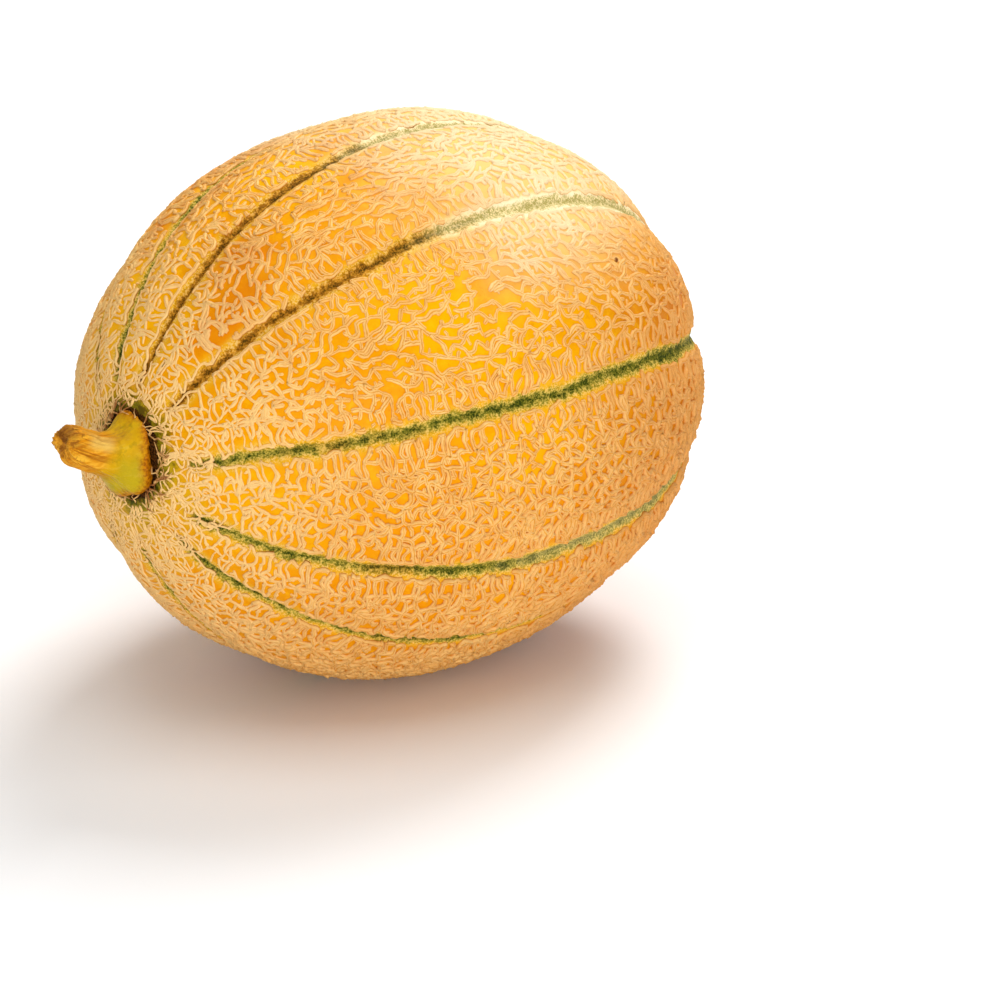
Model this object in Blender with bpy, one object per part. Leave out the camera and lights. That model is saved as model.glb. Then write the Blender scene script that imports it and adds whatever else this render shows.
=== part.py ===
"""A whole netted cantaloupe melon, lying on its side with its dried stem stub still on.

Metres, +Z up. The fruit's long axis runs along X, with the stem at -X. The origin is the middle of the
small flat spot that the fruit rests on.
"""

import math
import random

import bmesh
import bpy
from mathutils import Matrix, Vector

# Fruit, overall
FRUIT_LENGTH = 0.168
FRUIT_WIDTH = 0.136
FRUIT_HEIGHT = 0.143
FULLNESS = 2.08  # 2 is an ellipsoid; more is squarer at the shoulders
BLOSSOM_FULLER = 0.045  # share by which the blossom half is thicker than the stem half
STEM_END_OFFSET = (0.0009, 0.0018)  # how far the fruit's bend carries the stem end along Y and Z
BLOSSOM_END_OFFSET = (-0.0054, -0.0013)

# Ribs and sutures. Angles run round the long axis from +Y towards +Z, in degrees.
SUTURE_ANGLES = (43, 68, 93, 125, 165, 201, 225, 268, 303, 352)
RIB_BULGE = 0.0020
RIB_ROUNDNESS = 0.7  # less is a flatter rib with narrower valleys
RIB_FADE = (0.10, 0.75)  # radians from either end, over which the ribs grow to their full height
GROOVE_DEPTHS = (0.0013, 0.0014, 0.0016, 0.0018, 0.0018, 0.0014, 0.0012, 0.0010, 0.0012, 0.0014)
GROOVE_HALF_WIDTH = 0.0015
GROOVE_START = 0.30  # radians from either end of the fruit, where a suture begins

# Raised net, larger than life
NET_HEIGHT = 0.0014
NET_HALF_WIDTH = 0.0011
SHORTEST_BORDER = 0.0014
CELL_SIZE = 0.0095
CELL_SIZE_AT_STEM = 0.0070
CELL_GROWTH = (0.15, 0.90)  # radians from the stem end, over which the cells grow to their full size
CELL_CROWDING = 0.90  # least distance between two cells' middles, as a share of the cell size
EDGE_ROW_OFFSET = 0.0043  # from a suture to the middle of the first row of cells beside it
EDGE_ROW_SHARE = 0.27  # the most of a narrow rib's width that this offset takes
EDGE_ROW_STEP = 2.1  # length of those cells along the suture, as a multiple of the offset
NET_SEED = 11
NET_TRIES = 16000

# Where it rests. Ribs and net fade out over this range of radians from straight down.
FLAT_SPOT_DEPTH = 0.0016
GROUND_FADE = (0.23, 0.50)

# Stem stub, and the shallow seat in the fruit that it sits in, a little above the fruit's long axis
SEAT_OFFSET = (-0.0017, 0.0040)
SEAT_RADIUS = 0.0124
SEAT_DEPTH = 0.0018
SEAT_CUTTER_LENGTH = 0.010
TOUCH_GAP = 0.0003
STEM_LENGTH = 0.0220
STEM_RISE_AT_TIP = 0.0086
STEM_BEND = 1.5  # how late along its length the stem turns up; 1 is a straight slope
# share of the stem's length from its seat, and the radius there
STEM_PROFILE = (
    (0.0, 0.0101),
    (0.07, 0.0108),
    (0.135, 0.0099),
    (0.225, 0.0076),
    (0.335, 0.0057),
    (0.48, 0.0047),
    (0.72, 0.0045),
    (0.87, 0.0046),
    (0.95, 0.0042),
    (1.0, 0.0031),
)
BASE_NARROWER = 0.22  # share by which the flared base is narrower than it is tall
STEM_CORNERS = 5
STEM_SIDES = 40
STEM_RINGS = 17

# Blossom scar at the other end: one round cell of the net, and the ring of cells round it
SCAR_RADIUS = 0.0068
SCAR_DEPTH = 0.0008
SCAR_RING_CELLS = 11

HALF_SIZES = Vector((FRUIT_LENGTH / 2, FRUIT_WIDTH / 2, FRUIT_HEIGHT / 2))
MEAN_RADIUS = (FRUIT_WIDTH + FRUIT_HEIGHT) / 4


def start_empty_scene():
    for old in list(bpy.data.objects):
        bpy.data.objects.remove(old, do_unlink=True)
    fruit_collection = bpy.data.collections.new("cantaloupe_melon")
    cutter_collection = bpy.data.collections.new("cutters")
    for collection in (fruit_collection, cutter_collection):
        bpy.context.scene.collection.children.link(collection)
    return fruit_collection, cutter_collection


def plain_material(name, colour, roughness):
    material = bpy.data.materials.new(name)
    material.use_nodes = True
    shader = material.node_tree.nodes["Principled BSDF"]
    shader.inputs["Base Color"].default_value = (*colour, 1.0)
    shader.inputs["Roughness"].default_value = roughness
    shader.inputs["Metallic"].default_value = 0.0
    return material


def smooth_step(low, high, value):
    t = min(max((value - low) / (high - low), 0.0), 1.0)
    return t * t * (3 - 2 * t)


# Shape of the skin: every point is a direction of the unit ball plus a height above the skin


def meridian(angle):
    """The direction at right angles to the long axis, at this angle round it in radians."""
    return Vector((0.0, math.cos(angle), math.sin(angle)))


def ball_direction(from_stem, angle):
    """The unit direction this many radians from the stem end, at this angle round the long axis."""
    return meridian(angle) * math.sin(from_stem) + Vector((-math.cos(from_stem), 0.0, 0.0))


def place_on_ball(direction):
    """(radians from the stem end, angle round the long axis) of a unit direction."""
    from_stem = math.acos(max(-1.0, min(1.0, -direction.x)))
    return from_stem, math.atan2(direction.z, direction.y) % (2 * math.pi)


def suture_gap(index, side):
    """Radians from this suture to the next one, on the side 1 or -1."""
    other = (index + side) % len(SUTURE_ANGLES)
    return math.radians((SUTURE_ANGLES[other] - SUTURE_ANGLES[index]) * side % 360)


def share_across_rib(angle):
    """How far across its rib this angle round the long axis is, from 0 at one suture to 1 at the next."""
    for index, degrees in enumerate(SUTURE_ANGLES):
        width = suture_gap(index, 1)
        past = (angle - math.radians(degrees)) % (2 * math.pi)
        if past < width:
            return past / width
    return 0.0


def rib_height(direction):
    """Height of the skin against a fruit without ribs: 0 along the middle of a rib, lower between ribs."""
    from_stem, angle = place_on_ball(direction)
    across = share_across_rib(angle)
    fade = smooth_step(*RIB_FADE, from_stem) * smooth_step(*RIB_FADE, math.pi - from_stem)
    valley = (1 - math.sin(math.pi * across) ** RIB_ROUNDNESS) * fade * off_ground(direction)
    return -RIB_BULGE * valley


def off_ground(direction):
    """0 where the fruit rests and 1 well away from there."""
    return smooth_step(*GROUND_FADE, direction.angle(Vector((0, 0, -1))))


def skin_point(direction, height):
    """The point at this height above the smooth skin, in this direction, before the fruit is set down."""
    round_part = math.hypot(direction.y, direction.z)
    squareness = (abs(direction.x) ** FULLNESS + round_part**FULLNESS) ** (-1 / FULLNESS)
    fuller = 1 + BLOSSOM_FULLER * direction.x * round_part
    point = Vector(a * b for a, b in zip(direction, HALF_SIZES)) * squareness * fuller
    normal = Vector(a / b for a, b in zip(direction, HALF_SIZES)).normalized()
    point += normal * (height * off_ground(direction) + rib_height(direction))
    end_offset = STEM_END_OFFSET if point.x < 0 else BLOSSOM_END_OFFSET
    bend = (point.x / HALF_SIZES.x) ** 2
    return point + Vector((0, *end_offset)) * bend


# The net: cells round seeded middles, each border raised, each suture lowered


def edge_row_middles():
    """Cell middles in mirrored pairs along each suture, so that a straight border runs down it."""
    middles = []
    for index, degrees in enumerate(SUTURE_ANGLES):
        angle = math.radians(degrees)
        across = Vector((0.0, -math.sin(angle), math.cos(angle)))
        narrow = min(suture_gap(index, 1), suture_gap(index, -1))
        from_stem = GROOVE_START
        while from_stem < math.pi - GROOVE_START:
            room = EDGE_ROW_SHARE * narrow * math.sin(from_stem)
            offset = min(EDGE_ROW_OFFSET / MEAN_RADIUS, room)
            on_line = ball_direction(from_stem, angle)
            for side in (-1, 1):
                middles.append((on_line + across * math.tan(offset) * side).normalized())
            from_stem += EDGE_ROW_STEP * offset
    return middles


def scar_middles():
    """The middle of the blossom scar, and a ring of middles round it that makes its cell round."""
    middles = [Vector((1, 0, 0))]
    ring = 2 * SCAR_RADIUS / MEAN_RADIUS
    for step in range(SCAR_RING_CELLS):
        middles.append(ball_direction(math.pi - ring, 2 * math.pi * step / SCAR_RING_CELLS))
    return middles


def cell_spacing(direction):
    """Least distance between cell middles there, on the unit ball."""
    from_stem = place_on_ball(direction)[0]
    size = CELL_SIZE_AT_STEM + (CELL_SIZE - CELL_SIZE_AT_STEM) * smooth_step(*CELL_GROWTH, from_stem)
    return size * CELL_CROWDING / MEAN_RADIUS


def scattered_middles(taken):
    """Fills the rest of the ball with middles at random, none nearer another than cell_spacing."""
    chance = random.Random(NET_SEED)
    middles = list(taken)
    for _ in range(NET_TRIES):
        direction = Vector((chance.gauss(0, 1), chance.gauss(0, 1), chance.gauss(0, 1))).normalized()
        least = cell_spacing(direction)
        if all((direction - other).length > least for other in middles):
            middles.append(direction)
    return middles


def on_suture(direction):
    """The index of the suture that this direction lies on, or None."""
    from_stem, angle = place_on_ball(direction)
    if not GROOVE_START < from_stem < math.pi - GROOVE_START:
        return None
    for index, degrees in enumerate(SUTURE_ANGLES):
        off = (angle - math.radians(degrees) + math.pi) % (2 * math.pi) - math.pi
        if abs(off) * math.sin(from_stem) * MEAN_RADIUS < SHORTEST_BORDER:
            return index
    return None


def cells_round(middles):
    """The unit ball as a bmesh with one face round each middle: every face's borders lie halfway to its neighbours."""
    ball = bmesh.new()
    for middle in middles:
        ball.verts.new(middle)
    bmesh.ops.convex_hull(ball, input=ball.verts)
    bmesh.ops.recalc_face_normals(ball, faces=ball.faces)
    middle_verts = list(ball.verts)
    links = list(ball.edges)
    corners = bmesh.ops.poke(ball, faces=ball.faces)["verts"]
    corner_places = [corner.link_faces[0].normal.normalized() for corner in corners]
    bmesh.ops.rotate_edges(ball, edges=links)
    bmesh.ops.dissolve_verts(ball, verts=middle_verts)
    for corner, place in zip(corners, corner_places):
        corner.co = place
    bmesh.ops.remove_doubles(ball, verts=ball.verts, dist=SHORTEST_BORDER / MEAN_RADIUS)
    bmesh.ops.recalc_face_normals(ball, faces=ball.faces)
    return ball


def net_mesh():
    """The fruit's surface as a bmesh: one sunk floor for each cell of the net, ridges round it, and sutures."""
    cells = cells_round(scattered_middles(edge_row_middles() + scar_middles()))
    groove_faces, groove_bottoms = widen_sutures(cells)
    floors = [face for face in cells.faces if face not in groove_faces]
    borders = set(cells.verts)
    bmesh.ops.inset_individual(cells, faces=floors, thickness=NET_HALF_WIDTH / MEAN_RADIUS)
    for vert in cells.verts:
        direction = vert.co.normalized()
        if vert in groove_bottoms:
            height = -GROOVE_DEPTHS[groove_bottoms[vert]]
        elif vert in borders:
            height = NET_HEIGHT
        elif direction.x > math.cos(SCAR_RADIUS / MEAN_RADIUS):
            height = -SCAR_DEPTH
        else:
            height = 0.0
        vert.co = skin_point(direction, height)
    print("cells of the net:", len(floors))
    bmesh.ops.triangulate(cells, faces=cells.faces)
    return cells


def widen_sutures(cells):
    """Turns each suture's chain of borders into a band of faces.

    Returns those faces, and the verts along the band's middle with the suture that each is on.
    """
    sutures = {vert: on_suture(vert.co.normalized()) for vert in cells.verts}
    chains = []
    for edge in cells.edges:
        first, second = (sutures[v] for v in edge.verts)
        if first is not None and first == second:
            chains.append(edge)
    made = bmesh.ops.bevel(
        cells,
        geom=chains,
        offset=GROOVE_HALF_WIDTH / MEAN_RADIUS,
        segments=2,
        profile=0.5,
        affect="EDGES",
    )
    middles = {}
    band = set(made["faces"])
    for vert in cells.verts:
        suture = on_suture(vert.co.normalized())
        if suture is not None and band.issuperset(vert.link_faces):
            middles[vert] = suture
    print("borders along sutures:", len(chains), "groove faces:", len(band), "groove verts:", len(middles))
    return band, middles


def cut_flat_spot(mesh):
    """Cuts the lowest part off flat, and sets the fruit down on it. Returns how far it was moved."""
    level = min(v.co.z for v in mesh.verts) + FLAT_SPOT_DEPTH
    everything = list(mesh.verts) + list(mesh.edges) + list(mesh.faces)
    cut = bmesh.ops.bisect_plane(
        mesh,
        geom=everything,
        dist=1e-6,
        plane_co=(0, 0, level),
        plane_no=(0, 0, -1),
        clear_outer=True,
    )
    rim = [e for e in cut["geom_cut"] if isinstance(e, bmesh.types.BMEdge)]
    bmesh.ops.holes_fill(mesh, edges=rim, sides=0)
    bmesh.ops.recalc_face_normals(mesh, faces=mesh.faces)
    rim_points = {v for edge in rim for v in edge.verts}
    middle_x = (min(v.co.x for v in rim_points) + max(v.co.x for v in rim_points)) / 2
    middle_y = (min(v.co.y for v in rim_points) + max(v.co.y for v in rim_points)) / 2
    moved = Vector((-middle_x, -middle_y, -level))
    bmesh.ops.translate(mesh, verts=mesh.verts, vec=moved)
    return moved


def add_cut(target, cutter):
    cutter.hide_render = True
    cutter.display_type = "WIRE"
    boolean = target.modifiers.new(cutter.name, "BOOLEAN")
    boolean.operation = "DIFFERENCE"
    boolean.solver = "EXACT"
    boolean.object = cutter


def object_from(mesh, name, collection):
    data = bpy.data.meshes.new(name)
    mesh.to_mesh(data)
    mesh.free()
    made = bpy.data.objects.new(name, data)
    collection.objects.link(made)
    return made


def make_fruit(parts, cutters):
    """The fruit with its net and its stem seat. Returns it and the middle of the stem seat."""
    mesh = net_mesh()
    moved = cut_flat_spot(mesh)
    fruit = object_from(mesh, "fruit", parts)
    fruit.data.materials.append(plain_material("golden_rind", (0.80, 0.47, 0.13), 0.55))

    seat = skin_point(Vector((-1, 0, 0)), 0.0) + moved + Vector((SEAT_DEPTH, *SEAT_OFFSET))
    cutter_mesh = bmesh.new()
    bmesh.ops.create_cone(
        cutter_mesh,
        cap_ends=True,
        segments=36,
        radius1=SEAT_RADIUS,
        radius2=SEAT_RADIUS,
        depth=SEAT_CUTTER_LENGTH,
        matrix=Matrix.Rotation(math.pi / 2, 4, "Y"),
    )
    seat_cutter = object_from(cutter_mesh, "seat_cutter", cutters)
    seat_cutter.location = seat - Vector((SEAT_CUTTER_LENGTH / 2, 0, 0))
    add_cut(fruit, seat_cutter)
    return fruit, seat


# The stem stub


def stem_radius(share):
    for (low, r_low), (high, r_high) in zip(STEM_PROFILE, STEM_PROFILE[1:]):
        if share <= high:
            return r_low + (r_high - r_low) * smooth_step(low, high, share)
    return STEM_PROFILE[-1][1]


def stem_point(share, angle):
    """The point on the stem this share of the way out and this angle round it, from the middle of its base."""
    corner = math.cos(STEM_CORNERS * angle + 0.6)
    uneven = 0.05 * math.cos(3 * angle + 1.1) * (1 - share)
    radius = stem_radius(share) * (1 + 0.06 * corner + uneven)
    narrower = 1 - BASE_NARROWER * (1 - smooth_step(0.05, 0.40, share))
    middle = Vector((-STEM_LENGTH * share, 0.0, STEM_RISE_AT_TIP * share**STEM_BEND))
    slope = STEM_RISE_AT_TIP * STEM_BEND * share ** (STEM_BEND - 1) / STEM_LENGTH
    upward = Vector((slope, 0.0, 1.0)).normalized()
    return middle + Vector((0, math.cos(angle), 0)) * radius * narrower + upward * math.sin(angle) * radius


def make_stem(parts, seat):
    """The flared base, the five-cornered neck and the dried tip, drawn out of a cylinder."""
    mesh = bmesh.new()
    bmesh.ops.create_cone(mesh, cap_ends=True, segments=STEM_SIDES, radius1=1, radius2=1, depth=1)
    lengthwise = [e for e in mesh.edges if abs(e.verts[0].co.z - e.verts[1].co.z) > 0.5]
    bmesh.ops.subdivide_edges(mesh, edges=lengthwise, cuts=STEM_RINGS - 1)
    for vert in mesh.verts:
        share = vert.co.z + 0.5
        vert.co = stem_point(share, math.atan2(-vert.co.y, vert.co.x))
    stem = object_from(mesh, "stem", parts)
    stem.location = seat - Vector((TOUCH_GAP, 0, 0))
    stem.data.shade_smooth()
    stem.data.set_sharp_from_angle(angle=math.radians(50))
    stem.data.materials.append(plain_material("olive_stem", (0.45, 0.37, 0.08), 0.6))
    return stem


def main():
    parts, cutters = start_empty_scene()
    fruit, seat = make_fruit(parts, cutters)
    make_stem(parts, seat)
    print("fruit triangles before its cuts:", len(fruit.data.polygons))
    print("stem seat:", tuple(round(value, 5) for value in seat))


main()
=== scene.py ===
import math
import random

import bpy
import numpy as np
from mathutils import Matrix, Vector, kdtree, noise


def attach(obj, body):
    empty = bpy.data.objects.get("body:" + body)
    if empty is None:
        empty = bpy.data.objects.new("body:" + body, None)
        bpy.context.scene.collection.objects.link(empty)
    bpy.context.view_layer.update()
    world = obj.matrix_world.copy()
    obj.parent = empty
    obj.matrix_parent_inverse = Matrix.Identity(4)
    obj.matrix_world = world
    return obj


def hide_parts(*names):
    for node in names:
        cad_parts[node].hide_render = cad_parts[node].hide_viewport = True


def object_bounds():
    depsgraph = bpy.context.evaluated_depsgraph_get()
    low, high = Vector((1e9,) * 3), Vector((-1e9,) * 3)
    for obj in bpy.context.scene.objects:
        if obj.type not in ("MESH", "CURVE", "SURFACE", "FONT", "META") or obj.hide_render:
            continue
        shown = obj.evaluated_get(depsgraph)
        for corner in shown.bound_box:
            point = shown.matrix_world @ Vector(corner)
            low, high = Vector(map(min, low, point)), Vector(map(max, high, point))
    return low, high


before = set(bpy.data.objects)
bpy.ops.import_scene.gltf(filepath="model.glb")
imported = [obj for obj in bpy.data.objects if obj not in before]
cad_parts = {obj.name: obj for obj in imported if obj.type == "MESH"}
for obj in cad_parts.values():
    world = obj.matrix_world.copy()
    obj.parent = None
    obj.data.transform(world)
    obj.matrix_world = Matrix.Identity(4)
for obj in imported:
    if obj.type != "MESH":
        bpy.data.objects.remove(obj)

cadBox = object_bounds()
fullTurn = 2 * math.pi


# small helpers

def paint(r, g, b):  # 0 to 255 screen colour to Blender's linear colour
    out = []
    for v in (r, g, b):
        v = v / 255
        out.append(v / 12.92 if v < 0.04045 else ((v + 0.055) / 1.055) ** 2.4)
    return (*out, 1.0)


def easeStep(low, high, value):  # 0 before low, 1 past high, smooth between them
    t = np.clip((np.asarray(value, float) - low) / (high - low), 0, 1)
    return t * t * (3 - 2 * t)


def ramp(value, low, high):  # 0 before low, 1 past high, straight between them
    return min(1.0, max(0.0, (value - low) / (high - low)))


def turnBetween(start, end):  # from one angle to another, the shorter way round
    return (end - start + math.pi) % fullTurn - math.pi


def deselectAll():
    if bpy.context.object and bpy.context.object.mode != "OBJECT":
        bpy.ops.object.mode_set(mode="OBJECT")
    bpy.ops.object.select_all(action="DESELECT")


def pick(obj):
    deselectAll()
    obj.select_set(True)
    bpy.context.view_layer.objects.active = obj


def addObject(name, data):
    obj = bpy.data.objects.new(name, data)
    bpy.context.scene.collection.objects.link(obj)
    return obj


def toMesh(obj):  # from a curve to a mesh
    pick(obj)
    bpy.ops.object.convert(target="MESH")
    return bpy.context.object


def getPoints(obj):
    flat = np.empty(len(obj.data.vertices) * 3, np.float32)
    obj.data.vertices.foreach_get("co", flat)
    return flat.reshape(-1, 3).astype(float)


def setPoints(obj, points):
    obj.data.vertices.foreach_set("co", np.asarray(points, np.float32).ravel())
    obj.data.update()


def addNumbers(obj, **numbers):  # one number per vertex under each name, for the material to read
    for name, values in numbers.items():
        layer = obj.data.attributes.new(name, "FLOAT", "POINT")
        layer.data.foreach_set("value", np.asarray(values, np.float32).ravel())


def faceOut(obj):  # normals out and smooth shading
    pick(obj)
    bpy.ops.object.mode_set(mode="EDIT")
    bpy.ops.mesh.select_all(action="SELECT")
    bpy.ops.mesh.normals_make_consistent(inside=False)
    bpy.ops.object.mode_set(mode="OBJECT")
    bpy.ops.object.shade_smooth()


# the fruit's shape, as the solid has it, in metres
fruitShape = {
    "halfSizes": (0.084, 0.068, 0.0715),
    "middle": (-0.004169, 0.0, 0.069996),
    "fullness": 2.08,  # 2 is an ellipsoid; more is squarer at the shoulders
    "blossomFuller": 0.045,
    "stemEndOffset": (0.0009, 0.0018),
    "blossomEndOffset": (-0.0054, -0.0013),
    "sutures": (43, 68, 93, 125, 165, 201, 225, 268, 303, 352),  # degrees from +Y towards +Z
    "ribBulge": 0.0020,
    "ribRoundness": 0.7,
    "ribFade": (0.10, 0.75),  # radians from either end
    "groundFade": (0.23, 0.50),  # radians from straight down
    "floorClearance": 0.00025,
    "tableSteps": 4001,
}
halfSizes = np.array(fruitShape["halfSizes"])
middle = np.array(fruitShape["middle"])
sutureAngles = np.radians(fruitShape["sutures"])
ribCount = len(sutureAngles)
ribWidths = (np.roll(sutureAngles, -1) - sutureAngles) % fullTurn


def ribPlace(around):  # which rib, and the share of the way across it
    around = np.asarray(around) % fullTurn
    rib = (np.searchsorted(sutureAngles, around, side="right") - 1) % ribCount
    past = (around - sutureAngles[rib]) % fullTurn
    return rib, past / ribWidths[rib]


def squareness(lengthwise, crosswise):  # how far out the skin is in a direction, as a share of an ellipsoid's
    power = fruitShape["fullness"]
    return (np.abs(lengthwise) ** power + crosswise ** power) ** (-1 / power)


def skinPoints(fromStem, around, height):  # angles in radians, height over the skin in metres
    s = fruitShape
    roundPart = np.sin(fromStem)
    direction = np.stack([-np.cos(fromStem), roundPart * np.cos(around), roundPart * np.sin(around)], -1)
    roundPart = np.abs(roundPart)
    fuller = 1 + s["blossomFuller"] * direction[..., 0] * roundPart
    points = direction * halfSizes * (squareness(direction[..., 0], roundPart) * fuller)[..., None]
    normal = direction / halfSizes
    normal /= np.linalg.norm(normal, axis=-1, keepdims=True)
    offGround = easeStep(*s["groundFade"], np.arccos(np.clip(-direction[..., 2], -1, 1)))
    across = ribPlace(around)[1]
    fade = easeStep(*s["ribFade"], fromStem) * easeStep(*s["ribFade"], math.pi - fromStem)
    valley = (1 - np.sin(math.pi * np.clip(across, 0, 1)) ** s["ribRoundness"]) * fade * offGround
    points += normal * (height - s["ribBulge"] * valley)[..., None]
    bend = (points[..., 0] / halfSizes[0]) ** 2
    stemEnd = (points[..., 0] < 0)[..., None]
    points[..., 1:] += np.where(stemEnd, s["stemEndOffset"], s["blossomEndOffset"]) * bend[..., None]
    points += middle
    points[..., 2] = np.maximum(points[..., 2], s["floorClearance"])
    return points


# lengths along the skin from the stem, and the fruit's radius there, in millimetres
tableAngles = np.linspace(0, math.pi, fruitShape["tableSteps"])
tableSquare = squareness(np.cos(tableAngles), np.sin(tableAngles))
tableX = -np.cos(tableAngles) * halfSizes[0] * tableSquare * 1000
tableR = np.sin(tableAngles) * (halfSizes[1] + halfSizes[2]) / 2 * tableSquare * 1000
tableLength = np.concatenate([[0], np.cumsum(np.hypot(np.diff(tableX), np.diff(tableR)))])
skinLength = tableLength[-1]
print("skin length from stem to blossom end:", round(skinLength, 1), "mm")


def angleAt(length):
    return np.interp(length, tableLength, tableAngles)


def radiusAt(length):
    return np.interp(length, tableLength, tableR)


def skinX(y, z):  # where the skin is along X near the stem, for a place across it
    centreY = middle[1] + fruitShape["stemEndOffset"][0]
    centreZ = middle[2] + fruitShape["stemEndOffset"][1]
    angles = np.linspace(0, 0.45, 60)  # radians from the stem end
    around = math.atan2(z - centreZ, y - centreY)
    line = skinPoints(angles, np.full(len(angles), around), np.zeros(len(angles)))
    away = np.hypot(line[:, 1] - centreY, line[:, 2] - centreZ)
    return float(np.interp(math.hypot(y - centreY, z - centreZ), away, line[:, 0]))


# shader writing

class Val:  # a number in the shader
    def __init__(self, look, socket):
        self.look = look
        self.socket = socket

    def __add__(self, other):
        return self.look.maths("ADD", self, other)

    def __radd__(self, other):
        return self.look.maths("ADD", other, self)

    def __sub__(self, other):
        return self.look.maths("SUBTRACT", self, other)

    def __rsub__(self, other):
        return self.look.maths("SUBTRACT", other, self)

    def __mul__(self, other):
        return self.look.maths("MULTIPLY", self, other)

    def __rmul__(self, other):
        return self.look.maths("MULTIPLY", other, self)

    def __truediv__(self, other):
        return self.look.maths("DIVIDE", self, other)

    def __rtruediv__(self, other):
        return self.look.maths("DIVIDE", other, self)

    def sway(self, amount):  # a noise as an offset that goes both ways
        return (self - 0.5) * amount


class Look:
    def __init__(self, name):
        self.material = bpy.data.materials.new(name)
        self.material.use_nodes = True
        self.tree = self.material.node_tree
        self.shader = self.tree.nodes["Principled BSDF"]
        self.coords = None

    def plug(self, socket, value):
        if isinstance(value, Val):
            value = value.socket
        if isinstance(value, bpy.types.NodeSocket):
            self.tree.links.new(value, socket)
        elif value is not None:
            socket.default_value = value

    def node(self, kind, settings, inputs):  # any node
        made = self.tree.nodes.new(kind)
        for key, value in settings.items():
            setattr(made, key, value)
        for key, value in inputs.items():
            self.plug(made.inputs[key], value)
        return made

    def maths(self, operation, a, b):
        return Val(self, self.node("ShaderNodeMath", {"operation": operation}, {0: a, 1: b}).outputs[0])

    def place(self):
        if self.coords is None:
            self.coords = self.node("ShaderNodeTexCoord", {}, {}).outputs["Object"]
        return self.coords

    def axes(self):  # metres along the fruit, and up from the floor
        parts = self.node("ShaderNodeSeparateXYZ", {}, {0: self.place()})
        return Val(self, parts.outputs[0]), Val(self, parts.outputs[2])

    def stretched(self, scale, turn=(0, 0, 0)):
        inputs = {"Vector": self.place(), "Scale": scale, "Rotation": turn}
        return self.node("ShaderNodeMapping", {}, inputs).outputs[0]

    def number(self, name):  # a number that addNumbers has stored
        return Val(self, self.node("ShaderNodeAttribute", {"attribute_name": name}, {}).outputs["Fac"])

    def noise(self, scale, detail=2.0, rough=0.5, where=None):
        inputs = {"Vector": where or self.place(), "Scale": scale, "Detail": detail, "Roughness": rough}
        return Val(self, self.node("ShaderNodeTexNoise", {}, inputs).outputs["Fac"])

    def step(self, value, low, high, outLow=0.0, outHigh=1.0):
        inputs = {"Value": value, "From Min": low, "From Max": high, "To Min": outLow, "To Max": outHigh}
        made = self.node("ShaderNodeMapRange", {"interpolation_type": "SMOOTHSTEP"}, inputs)
        return Val(self, made.outputs["Result"])

    def only(self, value, first, last):  # 1 where a whole number is from first to last
        return self.step(value, first - 0.5, first - 0.1) * self.step(value, last + 0.5, last + 0.1)

    def near(self, point, outer, inner):  # 1 close to a point, 0 beyond the outer distance
        made = self.node("ShaderNodeVectorMath", {"operation": "DISTANCE"}, {0: self.place(), 1: point})
        return self.step(Val(self, made.outputs["Value"]), outer, inner)

    def mix(self, amount, a, b):
        return self.node("ShaderNodeMix", {"data_type": "RGBA"}, {0: amount, 6: a, 7: b}).outputs[2]

    def tones(self, value, low, high, colours):  # from the first colour to the second
        return self.mix(self.step(value, low, high), *colours)

    def bump(self, height, strength, distance):
        inputs = {"Height": height, "Strength": strength, "Distance": distance}
        return self.node("ShaderNodeBump", {}, inputs).outputs[0]

    def finish(self, sockets):
        for name, value in sockets.items():
            self.plug(self.shader.inputs[name], value)
        return self.material


# the rind
rind = {
    "segments": 560,
    "rings": 176,
    "grooveDepth": 0.0004,
    "grooveWidth": 0.0013,
    "sutureWander": 0.00035,
    "sutureFrom": 17.0,  # mm along the skin from either end
    "sutureGrowth": (12, 16),  # mm over which a suture then deepens, at the stem and at the blossom
    "groundFade": (0.23, 0.42),  # radians from straight down
    "seatCentre": (-0.086369, -0.000802, 0.075796),
    "seatRadius": 0.0116,
    "seatNarrower": 0.86,
    "seatRim": (0.0012, 0.0008),  # how far the rim's slope reaches out and in
    "seatUnder": 0.0001,
    "scarRadius": 0.0068,
    "scarRim": 0.0016,
    "scarDepth": 0.0006,
    "punctureAt": (155.4, 141.7),  # mm from the stem, degrees round
}
punctureLength, punctureTurn = rind["punctureAt"]
puncture = skinPoints(angleAt(np.array([punctureLength])), np.radians([punctureTurn]), np.zeros(1))[0]


def wanderAt(length, rib):  # sideways wander of a suture, in mm
    waves = np.sin(length * 0.11 + rib * 1.7) + 0.6 * np.sin(length * 0.27 + rib * 2.9)
    return rind["sutureWander"] * 1000 * waves


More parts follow.
